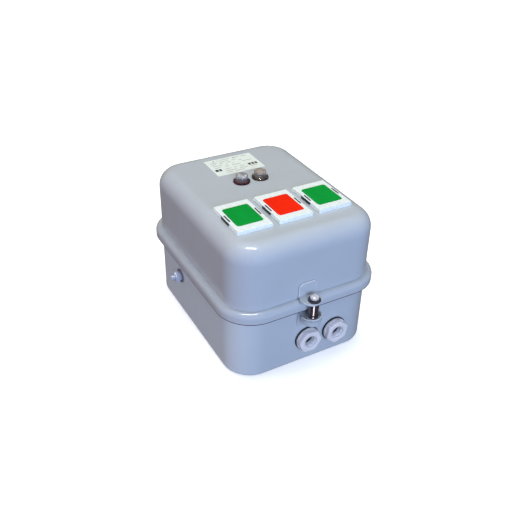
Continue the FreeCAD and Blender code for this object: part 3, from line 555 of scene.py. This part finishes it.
def bar(shape, x, y, half_x, half_y, z0, z1, r):
    """Adds a flat bar with rounded corners."""
    outline = round_rect(x, y, half_x, half_y, r, 3)
    return shape.loft([at_height(outline, z0), at_height(outline, z1)])


def inset_outlines(middle, half_x, half_y, corner_r, edge, level, steps):
    """Rounded rectangles, one for each (inset, rise) of an edge, with corner_r also in millimetres."""
    outlines = []
    for inset, rise in edge:
        r, half = (corner_r - inset) * MM, (half_x - inset * MM, half_y - inset * MM)
        outlines.append(at_height(round_rect(middle.x, middle.y, *half, r, steps), level + rise * MM))
    return outlines


def bezel_slot_shade():
    """Black inlays in the slots and flank notches of each button frame, shaped as clips, that stand for the
    shade deep in the slots: painted shade.
    """
    for side in SIDES:
        low, high, middle = corners_of(f"bezel_{side}")
        button = corners_of(f"cap_{side}")[2]
        half = (high.x - low.x) / 2 - 0.6 * MM
        shape = Shape()
        for s in (-1, 1):
            slot_x, notch_x = middle.x + s * (half - 2.1 * MM), middle.x + s * (half - 0.05 * MM)
            slot_y, notch_y = button.y + 0.4 * MM, button.y - 0.3 * MM
            slot_z = (high.z - 1.55 * MM, high.z + 0.04 * MM)
            notch_z = (cover_top + 0.12 * MM, cover_top + 2.9 * MM)
            bar(shape, slot_x, slot_y, 0.8 * MM, 6.5 * MM, *slot_z, 0.3 * MM)
            bar(shape, notch_x, notch_y, 0.5 * MM, 8.9 * MM, *notch_z, 0.2 * MM)
        shape.piece(f"bezel_slot_shade_{side}", "cover", looks["lamp_holder_plastic"], "lamp_holder_plastic")


def cap_crowns():
    """The raised, round-edged faces of the three button caps."""
    for side in SIDES:
        low, high, middle = corners_of(f"cap_{side}")
        half_x, half_y = (high.x - low.x) / 2, (high.y - low.y) / 2
        edge = ((-0.03, -0.9), (-0.03, 0.4), (0.06, 0.68), (0.25, 0.87), (0.55, 0.95), (2.4, 1.0))
        outlines = inset_outlines(middle, half_x, half_y, 2.6, edge, high.z, 6)
        slot = "cap_red" if side == "stop" else "cap_green"
        Shape().loft(outlines).piece(f"cap_crown_{side}", f"{side}_button", looks[slot], slot, 50)


def label_print():
    """Plain ruled dashes and blocks in place of the label's print."""
    low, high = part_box("rating_label")
    base, top = high.z - 0.05 * MM, high.z + 0.035 * MM
    width = high.x - low.x

    def dash(shape, left, right, row, half_h):
        x0, x1 = low.x + left * width, low.x + right * width
        bar(shape, (x0 + x1) / 2, low.y + row * MM, (x1 - x0) / 2, half_h * MM, base, top, 0.15 * MM)

    faint = Shape()
    rows = {
        35.2: ((0.16, 0.20), (0.25, 0.29), (0.32, 0.52), (0.58, 0.72), (0.78, 0.90)),
        31.0: ((0.08, 0.22), (0.27, 0.47), (0.55, 0.63)),
        27.0: ((0.08, 0.18), (0.24, 0.31), (0.41, 0.49), (0.66, 0.73)),
        23.0: ((0.08, 0.26), (0.34, 0.40), (0.48, 0.53), (0.70, 0.90)),
        18.8: ((0.08, 0.20), (0.30, 0.38), (0.45, 0.64)),
        12.8: ((0.24, 0.38), (0.44, 0.50), (0.56, 0.66)),
        8.2: ((0.22, 0.46), (0.52, 0.70), (0.76, 0.90)),
        4.6: ((0.22, 0.34), (0.40, 0.60)),
    }
    for row, spans in rows.items():
        for left, right in spans:
            dash(faint, left, right, row, 0.42)
    faint.piece("label_rules", "cover", faint_ink)
    dark = Shape()
    for left, right in ((0.045, 0.11), (0.125, 0.175), (0.75, 0.80), (0.82, 0.87), (0.89, 0.94)):
        dash(dark, left, right, 12.9, 2.3)
    for left, right in ((0.16, 0.19), (0.60, 0.63)):
        dash(dark, left, right, 35.2, 0.6)
    dark.piece("label_blocks", "cover", printed_ink)


def lamp_centres():
    """Where the two lamps stand on the cover's top."""
    low, high, middle = corners_of("lamp_lenses")
    radius = (high.y - low.y) / 2
    spots = {"forward": low.x + radius, "reverse": high.x - radius}
    return {side: Vector((x, middle.y, cover_top)) for side, x in spots.items()}


def lens_profile():
    """Hollow inside, then the neck, the flange, the waist and the rounded crown, in millimetres."""
    inside = [(0, 6.1), (2.6, 6.0), (4.0, 5.3), (4.4, 4.2), (4.4, -8.0)]
    flange = [(5.45, -8.0), (5.45, 0.02), (9.25, 0.02), (9.3, 1.25), (9.05, 1.75), (8.5, 2.05)]
    waist = [(7.8, 2.35), (7.1, 2.95), (6.6, 3.8), (6.35, 4.9), (6.3, 6.0)]
    crown = [(6.42, 6.9), (6.45, 7.4), (6.2, 7.95), (5.6, 8.3), (4.2, 8.45), (0, 8.48)]
    return inside + flange + waist + crown


def lamps():
    """Waisted clear lenses, each over a filter with six fins, a dark collar and a frosted bulb top."""
    for side, centre in lamp_centres().items():
        lens = Shape().lathe(centre, Z_AXIS, lens_profile(), 72)
        obj = lens.piece(f"lens_body_{side}", "cover", lens_looks[side], "lens_clear", sharp=50)
        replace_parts(obj, "lamp_lenses")
        tube = [(3.3, -6.5), (3.85, -6.5), (3.85, 3.4), (3.3, 3.4)]
        shape = Shape().lathe(centre, Z_AXIS, tube, 48)
        for k in range(6):
            a = math.radians(60 * k + 15)
            section = in_mm([(3.7, -0.35), (4.28, -0.25), (4.28, 0.25), (3.7, 0.35)])
            ends = [centre + Z_AXIS * (z * MM) for z in (-6.0, 3.1)]
            shape.sweep([(end, *flat_directions(a)) for end in ends], section)
        shape.piece(f"lamp_filter_{side}", "cover", lamp_filters[side])
        flare = [(4.5, 0.1), (8.9, 0.1), (8.75, 0.9), (7.3, 1.5), (6.2, 2.5), (5.7, 3.7), (4.5, 3.7)]
        collar = Shape().lathe(centre, Z_AXIS, flare, 60)
        collar.piece(f"lamp_collar_{side}", "cover", lamp_collars[side])
        disc = [(0, 6.7), (5.2, 6.7), (5.5, 7.0), (5.3, 7.5), (4.4, 7.8), (0, 7.9)]
        frost = Shape().lathe(centre, Z_AXIS, disc, 48)
        frost.piece(f"lamp_frost_{side}", "cover", lamp_frosts[side])


# ---------------------------------------------------------------- closure and terminals


def rounded_corner(start, corner, end, r, steps=8):
    """Points from start round a corner of radius r and on to end, without start and end."""
    to_start, to_end = (start - corner).normalized(), (end - corner).normalized()
    centre = corner + (to_start + to_end) * r
    points = []
    for k in range(steps + 1):
        a = math.radians(90 * k / steps)
        points.append(centre - to_end * (r * math.cos(a)) - to_start * (r * math.sin(a)))
    return points


def edge_bead(name, body, node, z_open, z_far, r):
    """The thick paint round a lug's welded plate, from z_open up or down to its far edge and back, in a
    lighter paint that stands for the highlight along the edge: painted highlight.
    """
    _, high, middle = corners_of(node)
    y = high.y - PAINTED_EDGE_R
    x0, x1 = middle.x - LUG_PLATE_HALF_WIDTH, middle.x + LUG_PLATE_HALF_WIDTH
    first, near, far, last = (
        Vector((x, y, z)) for x, z in ((x0, z_open), (x0, z_far), (x1, z_far), (x1, z_open))
    )
    path = [first, *rounded_corner(first, near, far, r), *rounded_corner(near, far, last, r), last]
    stations = []
    for k, point in enumerate(path):
        before, after = path[max(k - 1, 0)], path[min(k + 1, len(path) - 1)]
        along = (after - before).normalized()
        stations.append((point, Y_AXIS, along.cross(Y_AXIS)))
    bead = Shape().sweep(stations, ring(PAINTED_EDGE_R, 12))
    bead.piece(name, body, highlight_paint, "enclosure_paint", 60)


def lug_edges():
    low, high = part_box("latch_cover_lug")
    edge_bead("cover_lug_edge", "cover", "latch_cover_lug", low.z + 1 * MM, high.z, 4.5 * MM)
    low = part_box("latch_base_lug")[0]
    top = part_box("latch_post")[0].z - 2.2 * MM
    edge_bead("base_lug_edge", "base", "latch_base_lug", top - 1 * MM, low.z, 5.0 * MM)


def tongue_rim(name, body, node, r, level, sweep):
    """The rounded edge of a lug's tongue, in a lighter paint that stands for the highlight along it: painted
    highlight.
    """
    low, _, middle = corners_of(node)
    centre = Vector((middle.x, low.y + r, level))
    stations = []
    for k in range(49):
        a = math.radians(270 - sweep + 2 * sweep * k / 48)
        radial = Vector((math.cos(a), math.sin(a), 0))
        stations.append((centre + radial * (r - 0.55 * MM), radial, Z_AXIS))
    rim = Shape().sweep(stations, ring(0.75 * MM, 12))
    rim.piece(name, body, highlight_paint, "enclosure_paint", 60)


def tongue_rims():
    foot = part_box("latch_cover_lug")[0].z
    tongue_rim("cover_tongue_rim", "cover", "latch_cover_lug", 11.8 * MM, foot + 1.3 * MM, 92)
    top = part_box("latch_post")[0].z
    tongue_rim("base_tongue_rim", "base", "latch_base_lug", 11.0 * MM, top - 0.7 * MM, 92)


def painted_shadow_lip():
    """A thin dark lip just below the cover's bead that stands for the shadow line under the bead: painted
    shadow.
    """
    low, high, middle = corners_of("cover_shell")
    half_x, half_y = (high.x - low.x) / 2, (high.y - low.y) / 2
    edge = ((0.05, 0.2), (0.05, -0.8), (0.25, -1.05), (1.3, -1.05), (1.3, 0.2))
    outlines = inset_outlines(middle, half_x, half_y, RIM_CORNER_R, edge, low.z, 14)
    lip = Shape().loft(outlines, hollow=True)
    lip.piece("painted_shadow_lip", "cover", painted_shadow_rubber, "rubber_black", 50)


def closure_screw():
    """A slotted screw with a low domed head and a threaded end, and the spring ring under its head."""
    low, _, middle = corners_of("closure_screw")
    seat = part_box("closure_washer")[1].z
    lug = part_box("latch_cover_lug")[0].z
    tip = Vector((middle.x, middle.y, low.z))
    shank = (seat - low.z) / MM
    core = [(0, 0), (2.2, 0), (2.85, 0.8), (2.85, shank - 6.0), (3.0, shank - 5.6), (3.0, shank + 0.1)]
    head = [(3.0, shank + 1.3), (4.2, shank + 1.3), (4.4, shank + 1.5), (4.4, shank + 2.9), (0, shank + 2.9)]
    shape = Shape().lathe(tip, Z_AXIS, core + head)
    dome = [(0, 2.85), (4.4, 2.85), (4.35, 3.2), (3.9, 3.8), (3.0, 4.2), (1.6, 4.4), (0, 4.45)]
    for side in (-1, 1):
        half = Shape().lathe(tip + Z_AXIS * (shank * MM), Z_AXIS, dome)
        across = Vector((math.cos(math.radians(20)), math.sin(math.radians(20)), 0)) * side
        shape.add(half.cut(tip + across * (0.65 * MM), across))
    start = Vector((middle.x, middle.y, low.z + 0.5 * MM))
    thread(shape, start, Z_AXIS, 2.84 * MM, 3.3 * MM, lug - low.z - 1.0 * MM, 1.0 * MM)
    # The screw is drawn in the lightened zinc: a painted highlight on its head.
    obj = shape.piece("closure_screw_body", "closure_screw", zinc_painted_highlight, "zinc_steel", 35)
    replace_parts(obj, "closure_screw")
    split_ring = [(3.05, 0.03), (5.0, 0.03), (5.15, 0.2), (5.15, 1.05), (5.0, 1.25), (3.05, 1.25)]
    washer = Shape().lathe(tip, Z_AXIS, [(r, shank + h) for r, h in split_ring])
    washer.piece("closure_spring_ring", "closure_screw", near_black_zinc, "zinc_steel")


def hex_outline(centre, side, other, flats, limit, per_side=8):
    """A hexagon across its flats, with its corners cut back to the radius limit."""
    points = []
    for k in range(6 * per_side):
        a = 2 * math.pi * k / (6 * per_side)
        off = (a + math.pi / 6) % (math.pi / 3) - math.pi / 6
        r = min(flats / 2 / math.cos(off), limit)
        points.append(centre + side * (r * math.cos(a)) + other * (r * math.sin(a)))
    return points


def hex_nut(shape, centre, axis, flats, height):
    """A nut with both ends chamfered."""
    side = axis.cross(Z_AXIS).normalized()
    other = axis.cross(side)
    corner = flats / math.sqrt(3)
    profile = ((0.0, flats * 0.475), (0.10, flats * 0.53), (0.17, corner), (0.83, corner))
    profile += ((0.90, flats * 0.53), (1.0, flats * 0.475))
    outlines = [hex_outline(centre + axis * (height * t), side, other, flats, limit) for t, limit in profile]
    return shape.loft(outlines)


def earth_hardware():
    """The earth screw with its washer, split spring washer, chamfered nut and threaded end."""
    _, high, middle = corners_of("earth_terminal")
    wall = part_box("base_shell")[0].x + EARTH_WALL_INSET
    out = -X_AXIS
    inner = high.x - 4.0 * MM
    shape = Shape()
    hex_nut(shape, Vector((inner, middle.y, middle.z)), X_AXIS, 10 * MM, 4 * MM)
    stem = [(0, 0), (3.0, 0), (3.0, 8.4), (2.6, 9.6), (2.6, 13.0), (2.2, 13.5), (0, 13.5)]
    shape.lathe(Vector((inner, middle.y, middle.z)), out, stem, 48)
    face = Vector((wall - 0.02 * MM, middle.y, middle.z))
    plain = [(3.05, 0.0), (7.8, 0.0), (8.0, 0.25), (8.0, 1.15), (7.8, 1.4), (3.05, 1.4)]
    flat = Shape().lathe(face, out, plain)
    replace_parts(flat.piece("earth_washer", "base", dark_brown_zinc, "zinc_steel", 35), "earth_terminal")
    spring_at = face + out * 1.44 * MM
    section = in_mm([(-1.1, -0.8), (1.1, -0.8), (1.1, 0.8), (-1.1, 0.8)])
    side = out.orthogonal().normalized()
    other = out.cross(side)
    turn = []
    for k in range(49):
        a = math.radians(20 + 330 * k / 48)
        radial = side * math.cos(a) + other * math.sin(a)
        rise = 0.8 * MM + (k / 48 - 0.5) * 0.18 * MM
        turn.append((spring_at + radial * (4.4 * MM) + out * rise, radial, out))
    shape.sweep(turn, section)
    nut_at = face + out * 3.05 * MM
    hex_nut(shape, nut_at, out, 12 * MM, 5 * MM)
    thread(shape, nut_at + out * 5.1 * MM, out, 2.58 * MM, 2.95 * MM, 3.4 * MM, 0.8 * MM)
    # The earth hardware is drawn in the lightened zinc: painted light.
    obj = shape.piece("earth_hardware", "base", zinc_painted_light, "zinc_steel", 35)
    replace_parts(obj, "earth_terminal")


def rounded_hexagon(centre, side, other, flats, r, count=72):
    """A hexagon across its flats with round corners, as points at equal angles about its centre."""
    half, reach = flats / 2, (flats / 2 - r) / math.cos(math.pi / 6)
    points = []
    for k in range(count):
        a = 2 * math.pi * k / count
        off = abs((a + math.pi / 6) % (math.pi / 3) - math.pi / 6)
        if half * math.tan(off) <= (half - r) * math.tan(math.pi / 6):
            distance = half / math.cos(off)
        else:
            from_corner = math.pi / 6 - off
            across = reach * math.sin(from_corner)
            distance = reach * math.cos(from_corner) + math.sqrt(r * r - across * across)
        points.append(centre + side * (distance * math.cos(a)) + other * (distance * math.sin(a)))
    return points


def glands():
    """The hexagonal cable gland nuts with round corners, their smooth sleeves, and a dark disc deep in each
    bore that stands for the shade inside: painted shade.
    """
    low, _, middle = corners_of("gland_caps")
    seal_low, seal_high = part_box("gland_seals")
    radius = (seal_high.z - seal_low.z) / 2
    face_y = low.y
    for k, (x, turn) in enumerate(((seal_low.x + radius, 35), (seal_high.x - radius, 12))):
        a = math.radians(turn)
        side = Vector((math.cos(a), 0, -math.sin(a)))
        other = Vector((math.sin(a), 0, math.cos(a)))

        def at(depth):
            return Vector((x, face_y + depth * MM, middle.z))

        outside = ((5.4, 0.0), (0.9, 0.0), (0.45, 0.12), (0.12, 0.45), (0.0, 0.9))
        outlines = []
        for depth, inset in outside:
            flats, r = (GLAND_ACROSS_FLATS - 2 * inset) * MM, (GLAND_CORNER_R - inset) * MM
            outlines.append(rounded_hexagon(at(depth), side, other, flats, r))
        around = [(point - at(0.0)).normalized() for point in outlines[-1]]
        mouth = ((0.0, 7.75), (0.12, 7.45), (0.4, 7.25), (0.8, 7.2), (2.2, 7.2), (2.2, 9.8), (5.4, 9.8))
        outlines += [[at(depth) + way * (r * MM) for way in around] for depth, r in mouth]
        nut = Shape().loft(outlines, hollow=True)
        obj = nut.piece(f"gland_nut_{k + 1}", "base", looks["gland_plastic"], "gland_plastic", 32)
        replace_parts(obj, "gland_caps")
        sleeve = [(7.15, 0.5), (7.12, 1.3), (6.95, 2.0), (6.6, 2.7), (6.38, 3.4), (6.33, 4.6), (6.33, 8.0)]
        sleeve += [(6.38, 8.0), (6.38, 4.6), (6.45, 3.5), (6.7, 2.8), (7.05, 2.1), (7.19, 1.3), (7.19, 0.5)]
        lining = Shape().lathe(at(0.0), Y_AXIS, sleeve, 72)
        # The sleeve is drawn in the paler plastic: partly painted light.
        lining.piece(f"gland_sleeve_{k + 1}", "base", sleeve_painted_light, "gland_plastic", 60)
        disc = [(0, 0.0), (6.3, 0.0), (6.3, 0.6), (5.4, 0.25), (4.4, 0.5), (3.2, 0.2), (1.6, 0.5), (0, 0.3)]
        # A near-black disc deep in the bore: painted shade for the dark inside of the gland.
        shade_disc = Shape().lathe(at(8.3), -Y_AXIS, disc, 48)
        shade_disc.piece(f"gland_bore_shade_{k + 1}", "base", painted_bore_shade, "rubber_black")


# ---------------------------------------------------------------- inside details


def relay_ticks():
    """Graduations round the overload relay's dial, and a blank white tag."""
    middle = corners_of("overload_dial")[2]
    house_low, house_high, house = corners_of("overload_housing")
    top = house_high.z
    shape = Shape()
    for k in range(11):
        a = math.radians(-135 + 27 * k + 90)
        outer = 9.2 if k % 5 == 0 else 8.4
        section = in_mm([(6.9, -0.22), (outer, -0.22), (outer, 0.22), (6.9, 0.22)])
        ends = [Vector((middle.x, middle.y, z)) for z in (top - 0.05 * MM, top + 0.05 * MM)]
        shape.sweep([(end, *flat_directions(a)) for end in ends], section)
    shape.piece("relay_ticks", "base", looks["label_film"], "label_film")
    tag = Shape()
    tag_z = (top - 0.75 * MM, top - 0.35 * MM)
    bar(tag, house.x, house_low.y + 18 * MM, 16.6 * MM, 2.7 * MM, *tag_z, 0.5 * MM)
    tag.piece("relay_tag", "base", looks["label_film"], "label_film")


def terminal_markers():
    """Blank white markers down the middle of the control terminal block, and its screws."""
    low, high, middle = corners_of("terminal_block")
    pitch = (high.x - low.x) / 8
    shape = Shape()
    for k in range(8):
        x = low.x + pitch * (k + 0.5)
        bar(shape, x, middle.y, pitch * 0.42, 2.1 * MM, high.z - 0.4 * MM, high.z + 0.5 * MM, 0.5 * MM)
    shape.piece("terminal_markers", "base", looks["label_film"], "label_film")
    screws = Shape()
    for k in range(8):
        for s in (-1, 1):
            centre = Vector((low.x + pitch * (k + 0.5), middle.y + s * 5.0 * MM, high.z - 5.6 * MM))
            head = [(0, 0), (1.8, 0), (1.9, 0.2), (1.9, 1.5), (1.6, 1.8), (0, 1.8)]
            screws.lathe(centre, Z_AXIS, head, 24)
    screws.piece("terminal_block_screws", "base", looks["zinc_steel"], "zinc_steel")


def contactor_tags():
    """Blank tags in the two recesses of each contactor's front."""
    for side in ("forward", "reverse"):
        _, high, middle = corners_of(f"contactor_head_{side}")
        tags, tag_z = Shape(), (high.z - 1.95 * MM, high.z - 0.9 * MM)
        for x in (middle.x - 18 * MM, middle.x + 18 * MM):
            bar(tags, x, middle.y, 1.85 * MM, 14.8 * MM, *tag_z, 0.4 * MM)
        tags.piece(f"contactor_tags_{side}", "base", looks["label_film"], "label_film")


# ---------------------------------------------------------------- softened edges

SOFTENED = {
    0.18: ("closure_washer", "overload_dial", "latch_post", "interlock_module"),
    0.25: ("bezel_forward", "bezel_stop", "bezel_reverse", "gland_bodies", "gland_locknuts"),
    0.4: ("hinge_base_leaf", "hinge_cover_leaf", "latch_cover_lug", "latch_base_lug",
          "overload_housing", "terminal_block", "mounting_plate"),
    0.5: ("contactor_head_forward", "contactor_head_reverse", "contactor_base_forward",
          "contactor_base_reverse"),
}


def soften_edges():
    for width, names in SOFTENED.items():
        for name in names:
            modifier = frame["nodes"][name].modifiers.new("soft_edges", "BEVEL")
            modifier.width = width * MM
            modifier.segments = 2
            modifier.limit_method = "ANGLE"
            modifier.angle_limit = math.radians(40)
            modifier.use_clamp_overlap = True
            modifier.harden_normals = True


# ---------------------------------------------------------------- stage


def make_camera():
    azimuth, elevation, roll = map(math.radians, (-30.1, 34.49, 1.65))
    target = Vector((-0.00271, -0.01160, 0.06929))
    distance = 0.73705
    level = math.cos(elevation)
    back = Vector((math.sin(azimuth) * level, -math.cos(azimuth) * level, math.sin(elevation)))
    right = Vector((math.cos(azimuth), math.sin(azimuth), 0))
    up = back.cross(right)
    tilted_right = right * math.cos(roll) + up * math.sin(roll)
    tilted_up = up * math.cos(roll) - right * math.sin(roll)
    data = bpy.data.cameras.new("camera")
    data.sensor_width = 36.0
    data.lens = 45.33
    data.clip_start, data.clip_end = 0.05, 50
    camera = bpy.data.objects.new("camera", data)
    turn = Matrix((tilted_right, tilted_up, back)).transposed().to_4x4()
    camera.matrix_world = Matrix.Translation(target + back * distance) @ turn
    bpy.context.scene.collection.objects.link(camera)
    bpy.context.scene.camera = camera


def area_light(name, place, aim, width, height, power, colour):
    data = bpy.data.lights.new(name, "AREA")
    data.shape = "RECTANGLE"
    data.size, data.size_y = width, height
    data.energy = power
    data.color = colour
    light = bpy.data.objects.new(name, data)
    direction = Vector(aim) - Vector(place)
    light.rotation_euler = direction.to_track_quat("-Z", "Y").to_euler()
    light.location = place
    bpy.context.scene.collection.objects.link(light)
    return light


def light_only(light, name, node):
    """Lets a light reach one CAD node and nothing else."""
    group = bpy.data.collections.new(name)
    group.objects.link(frame["nodes"][node])
    light.light_linking.receiver_collection = group


def make_lights():
    softbox = area_light(
        "overhead_softbox", (0.06, 0.35, 1.75), (0, 0, 0.1), 1.5, 1.3, 26, (1.0, 1.0, 0.89)
    )
    strip = area_light(
        "strip_lamp", (-0.10, -0.14, 1.40), (-0.10, -0.14, 0), 0.60, 0.055, 10, (1.0, 0.99, 0.97)
    )
    strip.rotation_euler.rotate_axis("Z", math.radians(-37))
    window = area_light(
        "front_window", (-0.26, -1.54, 0.55), (0, 0, 0.08), 1.0, 0.8, 26, (0.534, 0.681, 1.0)
    )
    fill = area_light("left_fill", (-1.55, 0.40, 0.42), (0, 0, 0.06), 0.9, 0.7, 6.9, (1.0, 0.76, 0.83))
    bounce = area_light("base_bounce", (-0.92, -0.24, 0.05), (0, 0, 0.04), 0.4, 0.2, 2.4, (0.76, 0.88, 1.0))
    light_only(bounce, "base_only", "base_shell")
    reflector = area_light(
        "low_reflector", (-0.41, -0.86, -0.50), (0, -0.1, 0.08), 0.30, 0.30, 2.6, (0.90, 0.96, 1.0)
    )
    light_only(reflector, "turned_steel", "latch_post")
    for light in (softbox, window, fill, bounce):
        light.visible_glossy = False
    for light in (strip, reflector):
        light.visible_diffuse = False
    world = bpy.data.worlds.new("studio")
    world.use_nodes = True
    back = world.node_tree.nodes["Background"]
    back.inputs["Color"].default_value = (0.93, 0.92, 1.0, 1.0)
    back.inputs["Strength"].default_value = 0.18
    bpy.context.scene.world = world
    bpy.context.scene.view_settings.view_transform = "Standard"


def make_floor():
    """A pale floor that glows more towards the distance and throws no light back up at the object."""
    look = Look("studio_floor", Roughness=0.9, Emission_Color=(1.0, 1.0, 1.0, 1.0))
    away = look.node("ShaderNodeVectorMath", {0: look.place}, operation="LENGTH").outputs["Value"]
    look.drive("Emission Strength", look.remap(away, 0.42, 1.0, 0.4, 2.0))
    look.drive("Base Color", look.mix(look.noise(0.4, 2), (0.95, 0.95, 0.95), (0.98, 0.98, 0.98)))
    reach = 6.0
    mesh = bpy.data.meshes.new("floor")
    outline = at_height(round_rect(0, 0, reach, reach, 0.5), cad_box[0].z - 0.0002)
    mesh.from_pydata([tuple(v) for v in outline], [], [tuple(range(len(outline)))])
    mesh.materials.append(look.material)
    floor = bpy.data.objects.new("floor", mesh)
    floor.visible_diffuse = False
    floor.visible_glossy = False
    bpy.context.scene.collection.objects.link(floor)


# ---------------------------------------------------------------- scene


dress_nodes()
soften_edges()
springs()
bezel_slot_shade()
cap_crowns()
label_print()
lamps()
lug_edges()
tongue_rims()
closure_screw()
glands()
painted_shadow_lip()
earth_hardware()
relay_ticks()
terminal_markers()
contactor_tags()
make_camera()
make_lights()
make_floor()
